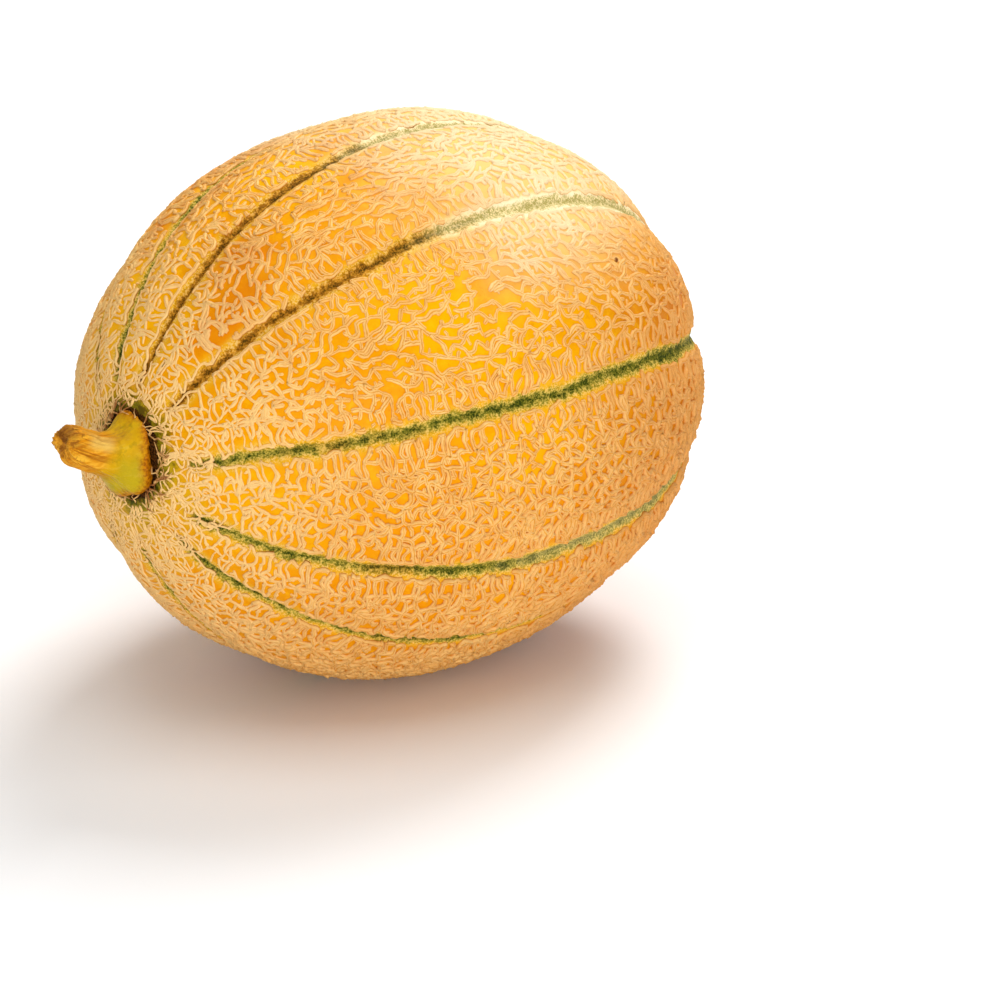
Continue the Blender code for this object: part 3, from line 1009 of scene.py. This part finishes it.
def makeStem():
    obj = makeStemGrid()
    unit = getPoints(obj)
    share = np.clip(0.5 - unit[:, 0], 0, 1)
    out = np.hypot(unit[:, 1], unit[:, 2])
    around = np.arctan2(unit[:, 2], unit[:, 1])
    top, side = np.sin(around), np.cos(around)
    atTip = (share > 0.9999) & (out < 0.999)
    atBase = (share < 0.0001) & (out < 0.999)
    even = 0.55 * share + 0.45 * share ** 1.6  # more rows in the flare
    dry = easeStep(0.30, 0.65, even)
    corner = np.cos(stem["corners"] * around + 0.6)
    uneven = stem["unevenness"] * np.cos(3 * around + 1.1) * (1 - even)
    teeth = sum(np.cos(n * around + n * n) for n in stem["teethCounts"]) / len(stem["teethCounts"])
    ridge = noiseRound(around, even, 3.2, 1.6)
    fibre = noiseRound(around, even, 9, 2.5, (0, 7))
    knot = noiseRound(around, even, 1.4, 9, (5, 0))
    radius = smoothProfile(even) * (1 + stem["cornerHeight"] * corner + uneven)
    radius += (ridge * 1.6 + fibre * 1.4) * stem["fibres"] * (0.5 + 1.6 * dry) + knot * stem["knots"] * dry
    radius += stem["rimTeeth"] * teeth * easeStep(0.12, 0.02, even)
    radius += stem["upperRidge"] * easeStep(0.55, 0.85, even) * np.clip(top, 0, 1)
    radius *= 1 - stem["tipNarrower"] * easeStep(0.955, 1.0, even)
    radius *= np.where(atTip | atBase, out, 1.0)
    narrower = 1 - stem["narrower"] * (1 - easeStep(0.05, 0.40, even))

    # bent up along its length, with each ring square to the bend
    slope = stem["rise"] * stem["bend"] * np.maximum(even, 1e-6) ** (stem["bend"] - 1) / stem["length"]
    steep = 1 / np.hypot(slope, 1)
    points = np.empty_like(unit)
    points[:, 0] = -stem["length"] * even + slope * steep * top * radius
    points[:, 1] = side * radius * narrower
    points[:, 2] = stem["rise"] * even ** stem["bend"] + steep * top * radius

    # the dry tip: a rough, slightly hollow face, cut aslant
    rough = np.array([noise.noise(Vector((y * 900, z * 900, 3.0))) for y, z in points[:, 1:]])
    hollow = np.where(atTip, 1 - out ** 2, 0)
    points[:, 0] += hollow * stem["tipHollow"] + np.where(atTip, rough * stem["tipRoughness"], 0)
    slant = easeStep(0.70, 1.0, even) * np.where(atTip, out, 1.0)
    points[:, 0] -= slant * np.where(top > 0, *stem["tipSlant"]) * top
    points += np.array(stem["base"])
    points[:, 0] = np.maximum(points[:, 0], cadBox[0][0] + stem["endGap"])
    setPoints(obj, points)
    addNumbers(obj, upStem=even, roundStem=top, ridge=fibre + ridge * 0.6, tipFace=np.where(atTip, 1.0, 0.0))
    faceOut(obj)
    print("stem faces:", len(obj.data.polygons))
    return obj


# dry corky fibres that still cross the crack between stem and fruit
strands = {
    "count": 64,
    "seed": 31,
    "thickness": 0.00016,
    "startRadius": 0.0098,
    "startSpread": (-0.0005, 0.0012),
    "reach": (0.0012, 0.0052),
    "sway": 0.34,
    "arch": (0.0001, 0.0009),
    "intoStem": (-0.0003, 0.0011),
    "intoSkin": 0.00015,
    "thickSpread": (0.7, 1.6),
    "taper": (0.6, 1.0, 1.1, 0.9, 0.5),
}


def makeStrands():
    chance = random.Random(strands["seed"])
    data = bpy.data.curves.new("strands", "CURVE")
    data.dimensions = "3D"
    data.bevel_depth = strands["thickness"]
    data.bevel_resolution = 1
    data.use_fill_caps = True
    last = len(strands["taper"]) - 1
    for _ in range(strands["count"]):
        around = chance.uniform(0, fullTurn)
        start = strands["startRadius"] + chance.uniform(*strands["startSpread"])
        reach = chance.uniform(*strands["reach"])
        sway = chance.gauss(0, strands["sway"])
        arch = chance.uniform(*strands["arch"])
        inside = np.array(stem["base"]) + [-chance.uniform(*strands["intoStem"]), 0, 0]
        spline = data.splines.new("POLY")
        spline.points.add(last)
        thick = chance.uniform(*strands["thickSpread"])
        for i, taper in enumerate(strands["taper"]):
            share = i / last
            radius = start + reach * share
            angle = around + sway * share + 0.04 * math.sin(share * 9 + around * 5)
            y = inside[1] + math.cos(angle) * radius * (0.93 if share < 0.6 else 0.97)
            z = inside[2] + math.sin(angle) * radius
            outerX = skinX(y, z) - strands["intoSkin"]
            x = inside[0] * (1 - share) + outerX * share - arch * math.sin(math.pi * share)
            spline.points[i].co = (min(x, outerX) if share > 0.5 else x, y, z, 1)
            spline.points[i].radius = taper * thick
    obj = toMesh(addObject("strands", data))
    joinCaps(obj)
    faceOut(obj)
    print("strand faces:", len(obj.data.polygons))
    return obj


# marks that the skin and its net share, in metres along the fruit and up from the floor
marks = {
    # painted highlight: paler high up towards the blossom end
    "paintedHighlight": {"up": (0.098, 0.134), "along": (-0.040, 0.022)},
    # painted shade: darker low down towards the blossom end
    "far": {"up": (0.128, 0.092), "along": (-0.02, 0.05)},
    "stain": {"up": (0.075, 0.105), "along": (0.02, -0.02), "cover": (0.52, 0.66)},
    # darker towards the floor: partly the browner lower skin, partly painted shade
    "low": (0.090, 0.030),
    "hole": (0.0009, 0.0004),
    "holeColour": paint(110, 44, 8),
}


def sharedMarks(look, broad):  # painted highlight on the top, painted shade low on the far side, the stain and the small puncture
    along, up = look.axes()
    m = marks["paintedHighlight"]
    paintedHighlight = look.step(up + broad.sway(0.05), *m["up"]) * look.step(along + broad.sway(0.06), *m["along"])
    m = marks["far"]
    far = look.step(along + broad.sway(0.04), *m["along"]) * look.step(up, *m["up"])
    m = marks["stain"]
    stain = look.step(look.noise(26, 4, 0.6, look.stretched((0.5, 1, 1))), *m["cover"])
    stain = stain * look.step(up, *m["up"]) * look.step(along, *m["along"])
    hole = look.near(tuple(puncture), *marks["hole"])
    return up, paintedHighlight, far, stain, hole


# the skin's colours; a pair goes from one to the other with a noise. Distances are in mm.
rindLook = {
    "gold": (paint(248, 178, 0), paint(236, 154, 0)),
    "lowGoldAndShade": paint(222, 134, 0),
    "farGold": paint(202, 108, 0),
    "highlightFlecks": paint(252, 194, 16),
    "darkFlecks": paint(214, 122, 0),
    "stain": paint(216, 112, 4),
    "paintedHighlight": paint(255, 222, 150),
    "nearStem": paint(196, 160, 14),
    "nearStemFrom": (30, 13),
    "margin": paint(228, 170, 28),
    "marginWidth": (4.4, 2.2),
    "paleGrain": paint(240, 204, 122),
    "paleGrainWidth": (3.8, 1.6),
    "lineWidth": (2.5, 0.9),
    "coreWidth": (1.45, 0.0),
    "olive": (paint(130, 124, 36), paint(206, 178, 76)),
    "green": (paint(46, 58, 8), paint(112, 110, 26)),
    "warm": (paint(156, 84, 8), paint(218, 140, 24)),
    "warmCore": (paint(72, 48, 4), paint(150, 86, 12)),
    "brownSutures": (2, 3),
    "brownFrom": (150, 80),
    # painted highlight over the two upper sutures towards the blossom end
    "sutureHighlightFrom": (96, 132),
    "sutureHighlight": (paint(188, 172, 100), paint(250, 228, 172)),
    "sutureHighlightCore": paint(140, 128, 52),
    "sutureHighlightMargin": paint(255, 240, 200),
    "fadedSutures": (5, 5),
    "fadedFrom": (100, 128),
    "faded": (paint(164, 150, 84), paint(216, 196, 126)),
    "seat": (paint(70, 72, 4), paint(166, 146, 24)),
    "seatWidth": (19.5, 13.0),
    "seatStain": paint(60, 38, 8),
    "seatStainWidth": (15.5, 12.5),
    "crack": (paint(34, 16, 4), paint(92, 54, 16)),
    "crackWidth": (12.1, 11.2),
    "scar": (paint(140, 92, 40), paint(200, 156, 92)),
    "scarWidth": (7.0, 5.6),
    "roughness": (0.34, 0.70),  # of the bare skin, and of its sutures and scars
    "specular": 0.05,
}


def rindFinish():
    c = rindLook
    look = Look("goldenSkin")
    d = look.number("toSuture")
    amount = look.number("sutureAmount")
    which = look.number("whichSuture")
    fromStem = look.number("fromStemMm")
    fromSeat = look.number("fromSeatMm")
    fromBlossom = look.number("fromBlossomMm")
    broad = look.noise(28, 3)
    patch = look.noise(150, 3)
    blotch = look.noise(420, 3, 0.6)
    grain = look.noise(900, 3, 0.6)
    speck = look.noise(2200, 2, 0.6)
    up, paintedHighlight, far, stain, hole = sharedMarks(look, broad)
    skin = look.tones(broad + patch.sway(0.5), 0.36, 0.64, c["gold"])
    # darker towards the floor: partly browner skin, partly painted shade
    skin = look.mix(look.step(up + broad.sway(0.04), *marks["low"]) * 0.6, skin, c["lowGoldAndShade"])
    # painted shade on the skin low down towards the blossom end
    skin = look.mix(far * 0.85, skin, c["farGold"])
    # painted highlight: scattered pale flecks on the gold
    skin = look.mix(look.step(blotch, 0.50, 0.72) * 0.35, skin, c["highlightFlecks"])
    skin = look.mix(look.step(blotch, 0.42, 0.26) * 0.45, skin, c["darkFlecks"])
    skin = look.mix(stain * 0.6, skin, c["stain"])
    # painted highlight on the skin high up towards the blossom end
    skin = look.mix(paintedHighlight * 0.62, skin, c["paintedHighlight"])
    # towards the stem the skin stays greener
    skin = look.mix(look.step(fromStem + patch.sway(30), *c["nearStemFrom"]) * 0.6, skin, c["nearStem"])

    # pale granular margin beside each suture
    margin = look.step(d + blotch.sway(2.0), *c["marginWidth"]) * look.step(amount, 0.0, 0.5)
    skin = look.mix(margin * 0.8, skin, c["margin"])
    pale = look.step(speck + grain.sway(0.6), 0.46, 0.62)
    pale = pale * look.step(d + grain.sway(2), *c["paleGrainWidth"]) * amount
    skin = look.mix(pale * 0.75, skin, c["paleGrain"])

    # the mottled line in each suture, green in most, brown in two of them over much of their length
    two = look.only(which, *c["brownSutures"])
    brown = two * look.step(fromStem + patch.sway(60), *c["brownFrom"])
    brown = look.maths("MAXIMUM", brown * 0.8, look.step(broad, 0.56, 0.70) * 0.4)
    edge = d + look.step(fromStem, 100, 35) * 0.40 - look.step(fromStem, 120, 180) * 0.3
    edge = edge + blotch.sway(3.2) + patch.sway(2.2) + grain.sway(1.4) + speck.sway(1.6) + brown * 0.1
    present = look.step(amount + patch.sway(0.9), 0.20, 0.55)
    line = look.step(edge, *c["lineWidth"]) * present
    core = look.step(edge, *c["coreWidth"]) * present
    olive = look.tones(speck + grain.sway(0.7), 0.38, 0.66, c["olive"])
    green = look.tones(speck + blotch.sway(0.6), 0.36, 0.62, c["green"])
    warm = look.tones(grain, 0.38, 0.62, c["warm"])
    warmCore = look.tones(speck, 0.38, 0.62, c["warmCore"])
    skin = look.mix(line, skin, look.mix(brown, olive, warm))
    skin = look.mix(core, skin, look.mix(brown, green, warmCore))

    # the same two get a painted highlight towards the blossom end, and one more is faded there
    sutureHighlight = two * look.step(fromStem + patch.sway(40), *c["sutureHighlightFrom"])
    sutureHighlightLine = look.tones(speck + grain.sway(0.6), 0.40, 0.62, c["sutureHighlight"])
    skin = look.mix(sutureHighlight * line * 0.9, skin, sutureHighlightLine)
    skin = look.mix(sutureHighlight * core * 0.35, skin, c["sutureHighlightCore"])
    faded = look.only(which, *c["fadedSutures"]) * look.step(fromStem + patch.sway(40), *c["fadedFrom"])
    skin = look.mix(faded * line * 0.45, skin, look.tones(speck, 0.4, 0.6, c["faded"]))
    skin = look.mix(sutureHighlight * margin * (1 - line) * 0.9, skin, c["sutureHighlightMargin"])

    # round the stem: olive skin, then a dark crack; the scar at the other end; the puncture
    seat = look.step(fromSeat + patch.sway(9) + blotch.sway(4), *c["seatWidth"])
    skin = look.mix(seat, skin, look.tones(blotch, 0.36, 0.60, c["seat"]))
    seatStain = look.step(blotch + grain.sway(0.5), 0.50, 0.62) * look.step(fromSeat, *c["seatStainWidth"])
    skin = look.mix(seatStain * 0.8, skin, c["seatStain"])
    crack = look.step(fromSeat + grain.sway(2.2) + blotch.sway(2.4), *c["crackWidth"])
    skin = look.mix(crack, skin, look.tones(speck, 0.42, 0.6, c["crack"]))
    scar = look.step(fromBlossom + grain.sway(1.2), *c["scarWidth"])
    skin = look.mix(scar, skin, look.tones(speck, 0.4, 0.65, c["scar"]))
    skin = look.mix(hole * 0.9, skin, marks["holeColour"])
    return look.finish({
        "Base Color": skin,
        "Roughness": look.step(line + crack + scar + margin * 0.5, 0.0, 1.0, *c["roughness"]),
        "Normal": look.bump(grain * 0.6 + speck * 0.4 + blotch * 0.5, 0.4, 0.0004),
        "Specular IOR Level": c["specular"],
    })


netLook = {
    "middle": (paint(238, 166, 58), paint(226, 146, 44)),
    "broadPatches": paint(214, 136, 46),
    "shoulders": (paint(252, 206, 128), paint(246, 190, 106)),
    "stain": paint(214, 128, 44),
    "paintedHighlight": paint(255, 238, 196),
    "low": paint(222, 150, 74),
    "nearStem": paint(255, 216, 146),
    "nearStemFrom": (80, 20),  # mm
    "far": paint(212, 136, 62),
    "darkGrain": paint(190, 112, 40),
    "paleSpecks": paint(248, 214, 160),
    # painted shade along the cords' roots, a darker pair for the low side
    "skirts": (paint(222, 138, 6), paint(196, 108, 4)),
    "roughness": 0.66,
    "specular": 0.08,
}


def netFinish():
    c = netLook
    look = Look("corkyNet")
    shoulder = look.number("shoulder")
    skirt = look.number("skirt")
    fromStem = look.number("fromStemMm")
    broad = look.noise(35, 2)
    patch = look.noise(260, 3)
    grain = look.noise(1700, 3, 0.6)
    speck = look.noise(3600, 2, 0.6)
    up, paintedHighlight, far, stain, hole = sharedMarks(look, broad)
    # darker towards the floor: partly browner cords, partly painted shade
    low = look.step(up + broad.sway(0.05), *marks["low"])
    cord = look.tones(patch, 0.35, 0.65, c["middle"])
    cord = look.mix(look.step(broad, 0.45, 0.62) * 0.4, cord, c["broadPatches"])
    shoulders = look.tones(patch, 0.38, 0.62, c["shoulders"])
    cord = look.mix(look.step(shoulder + grain.sway(0.7), 0.15, 0.75), cord, shoulders)
    cord = look.mix(stain * 0.45, cord, c["stain"])
    # painted highlight on the cords high up towards the blossom end
    cord = look.mix(paintedHighlight * 0.74, cord, c["paintedHighlight"])
    cord = look.mix(low * 0.25, cord, c["low"])
    cord = look.mix(look.step(fromStem, *c["nearStemFrom"]) * 0.72, cord, c["nearStem"])
    # painted shade on the cords low down towards the blossom end
    cord = look.mix(far * 0.6, cord, c["far"])
    cord = look.mix(look.step(grain, 0.60, 0.76) * 0.35, cord, c["darkGrain"])
    cord = look.mix(look.step(speck, 0.62, 0.72) * 0.4, cord, c["paleSpecks"])
    # painted shade along the cords' roots, darker towards the floor
    cord = look.mix(look.step(skirt, 0.35, 0.95) * 0.85, cord, look.mix(low, *c["skirts"]))
    cord = look.mix(hole * 0.9, cord, marks["holeColour"])
    return look.finish({
        "Base Color": cord,
        "Roughness": c["roughness"],
        "Normal": look.bump(grain + speck * 0.7 + look.noise(700, 2) * 0.9, 0.8, 0.0003),
        "Specular IOR Level": c["specular"],
    })


stemLook = {
    "fresh": (paint(204, 156, 2), paint(216, 172, 12)),
    "freshBlotches": paint(150, 126, 2),
    "greener": paint(168, 156, 14),
    "freshFibres": paint(214, 180, 60),
    "neck": (paint(214, 138, 12), paint(244, 184, 54)),
    "valleys": paint(146, 80, 12),
    "cream": paint(226, 188, 96),
    "upperSide": paint(150, 88, 24),
    "lowerSide": paint(170, 96, 14),
    "tip": (paint(150, 78, 10), paint(240, 162, 44)),
    "mottles": paint(116, 60, 12),
    "scorch": paint(96, 50, 14),
    "rim": (paint(150, 66, 0), paint(206, 116, 4)),
    "dryFrom": (0.34, 0.56),  # share of the length
    "roughness": (0.48, 0.75),
    "specular": 0.10,
}


def stemFinish():
    c = stemLook
    look = Look("halfDryStem")
    up = look.number("upStem")
    top = look.number("roundStem")
    ridge = look.number("ridge")
    tip = look.number("tipFace")
    patch = look.noise(190, 3)
    grain = look.noise(1100, 3, 0.6)
    fibre = look.noise(900, 3, 0.55, look.stretched((0.12, 1, 1), (0, 0.35, 0)))
    blotch = look.noise(420, 3, 0.6)

    # still fresh towards the base
    fresh = look.tones(patch, 0.35, 0.65, c["fresh"])
    fresh = look.mix(look.step(blotch, 0.52, 0.68) * 0.5, fresh, c["freshBlotches"])
    greener = look.step(up, 0.42, 0.30) * look.step(top + patch.sway(1), 0.35, -0.3)
    fresh = look.mix(greener * 0.6, fresh, c["greener"])
    fresh = look.mix(look.step(fibre, 0.56, 0.70) * 0.35, fresh, c["freshFibres"])

    # the dry neck, with a cream streak
    neck = look.tones(fibre, 0.32, 0.66, c["neck"])
    # painted shade in the grooves between the fibres
    neck = look.mix(look.step(ridge, 0.02, -0.24) * 0.5, neck, c["valleys"])
    cream = look.step(up, 0.38, 0.50) * look.step(up, 0.84, 0.70)
    cream = cream * look.step(top + patch.sway(0.5), 0.05, 0.5) * look.step(top, 1.0, 0.80)
    neck = look.mix(cream * 0.75, neck, c["cream"])
    dry = look.step(up + patch.sway(0.20) + (top - 0.2) * 0.07, *c["dryFrom"])
    colour = look.mix(dry, fresh, neck)

    # darker sides, tip and torn rim
    upper = look.step(top, 0.62, 0.92) * look.step(up, 0.10, 0.35)
    colour = look.mix(upper * look.step(fibre, 0.35, 0.6) * 0.5, colour, c["upperSide"])
    lower = look.step(top, -0.72, -0.95) * look.step(up, 0.2, 0.4)
    colour = look.mix(lower * 0.5, colour, c["lowerSide"])
    tipDark = look.maths("MAXIMUM", look.step(up + grain.sway(0.20) + top * 0.03, 0.92, 1.06), tip * 0.7)
    colour = look.mix(tipDark * 0.6, colour, look.tones(grain, 0.35, 0.7, c["tip"]))
    mottled = look.step(blotch + grain.sway(0.5), 0.50, 0.64) * look.step(up, 0.72, 0.92)
    colour = look.mix(mottled * 0.6, colour, c["mottles"])
    scorch = look.step(up + grain.sway(0.14), 0.86, 0.97) * look.step(top + patch.sway(0.8), 0.25, 0.75)
    colour = look.mix(scorch * 0.55, colour, c["scorch"])
    rim = look.step(up + grain.sway(0.09) + patch.sway(0.20), 0.18, 0.05)
    colour = look.mix(rim * 0.85, colour, look.tones(grain, 0.4, 0.6, c["rim"]))
    return look.finish({
        "Base Color": colour,
        "Roughness": look.step(dry, 0, 1, *c["roughness"]),
        "Normal": look.bump(fibre * 1.2 + grain * 0.5, 0.5, 0.0005),
        "Specular IOR Level": c["specular"],
    })


strandLook = {
    "colours": (paint(150, 92, 34), paint(236, 190, 116)),
    "roughness": 0.8,
}


def strandFinish():
    look = Look("dryStrands")
    colour = look.tones(look.noise(420, 3), 0.38, 0.62, strandLook["colours"])
    return look.finish({"Base Color": colour, "Roughness": strandLook["roughness"]})


# build
rindPiece = makeRind()
nets = makeNets()
stemPiece = makeStem()
strandPiece = makeStrands()
print("making the finishes")
for pieces, look, slot in (
    ([rindPiece], rindFinish(), "golden_rind"),
    (nets, netFinish(), "golden_rind"),
    ([stemPiece], stemFinish(), "olive_stem"),
    ([strandPiece], strandFinish(), "olive_stem"),
):
    for piece in pieces:
        piece.data.materials.clear()
        piece.data.materials.append(look)
        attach(piece, "root")
for piece in [rindPiece] + nets:
    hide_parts("fruit")
for piece in (stemPiece, strandPiece):
    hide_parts("stem")


# floor and light
studio = {
    "floorSize": 6.0,
    "floorColour": paint(253, 253, 253),
    "floorRoughness": 0.6,
    "sky": 0.46,
    # name, place, aim, size in metres, power in watts
    "lights": (
        ("key", (0.75, 0.30, 1.10), (0, 0, 0.07), (0.60, 0.60), 11.6),
        ("topSoft", (-0.15, -0.2, 1.3), (0, 0, 0.07), (0.9, 0.9), 5.3),
        ("frontFill", (-0.7, -1.3, 0.25), (0, 0, 0.05), (1.0, 0.5), 9),
    ),
}


def makeFloor():
    deselectAll()
    bpy.ops.mesh.primitive_plane_add(size=studio["floorSize"], location=(0, 0, 0))
    floor = bpy.context.object
    floor.name = "floor"
    look = Look("paleFloor")
    look.finish({"Base Color": studio["floorColour"], "Roughness": studio["floorRoughness"]})
    floor.data.materials.append(look.material)
    print("floor")


def makeLights():
    for name, place, aim, size, power in studio["lights"]:
        data = bpy.data.lights.new(name, "AREA")
        data.shape = "RECTANGLE"
        data.size, data.size_y = size
        data.energy = power
        obj = addObject(name, data)
        obj.location = place
        obj.rotation_euler = (Vector(aim) - Vector(place)).to_track_quat("-Z", "Y").to_euler()
    world = bpy.data.worlds.new("world")
    bpy.context.scene.world = world
    world.use_nodes = True
    background = world.node_tree.nodes["Background"]
    background.inputs["Color"].default_value = (1, 1, 1, 1)
    background.inputs["Strength"].default_value = studio["sky"]
    bpy.context.scene.view_settings.view_transform = "Standard"
    print("lights:", len(studio["lights"]), "and the sky")


# the camera, fitted to the fruit's outline and sutures in the photograph
cameraFit = {
    "yaw": -42.9,
    "pitch": 21.4,
    "picture": 1000,  # width and height in pixels
    "focal": 5886.0,  # in those pixels
    "middlePixel": (383.3, 394.6),  # where the fruit's middle is
    "distance": 1.5,
    "aim": (0.001, 0, 0),  # from the fruit's middle
    "sensor": 36,
    "clipEnd": 50,
}


def makeCamera():
    c = cameraFit
    yaw, pitch = math.radians(c["yaw"]), math.radians(c["pitch"])
    back = Vector((math.sin(yaw) * math.cos(pitch), -math.cos(yaw) * math.cos(pitch), math.sin(pitch)))
    right = Vector((math.cos(yaw), math.sin(yaw), 0))
    up = back.cross(right)
    px, py = c["middlePixel"]
    centre = c["picture"] / 2
    ray = Vector(((px - centre) / c["focal"], -(py - centre) / c["focal"], -1)).normalized()
    towards = right * ray.x + up * ray.y + back * ray.z
    place = Vector(fruitShape["middle"]) + Vector(c["aim"]) - towards * c["distance"]
    data = bpy.data.cameras.new("camera")
    data.sensor_width = c["sensor"]
    data.lens = c["focal"] / c["picture"] * c["sensor"]
    data.clip_end = c["clipEnd"]
    obj = addObject("camera", data)
    rows = [(right[i], up[i], back[i], place[i]) for i in range(3)]
    obj.matrix_world = Matrix((*rows, (0, 0, 0, 1)))
    bpy.context.scene.camera = obj
    print("camera:", round(data.lens), "mm")


makeFloor()
makeLights()
makeCamera()
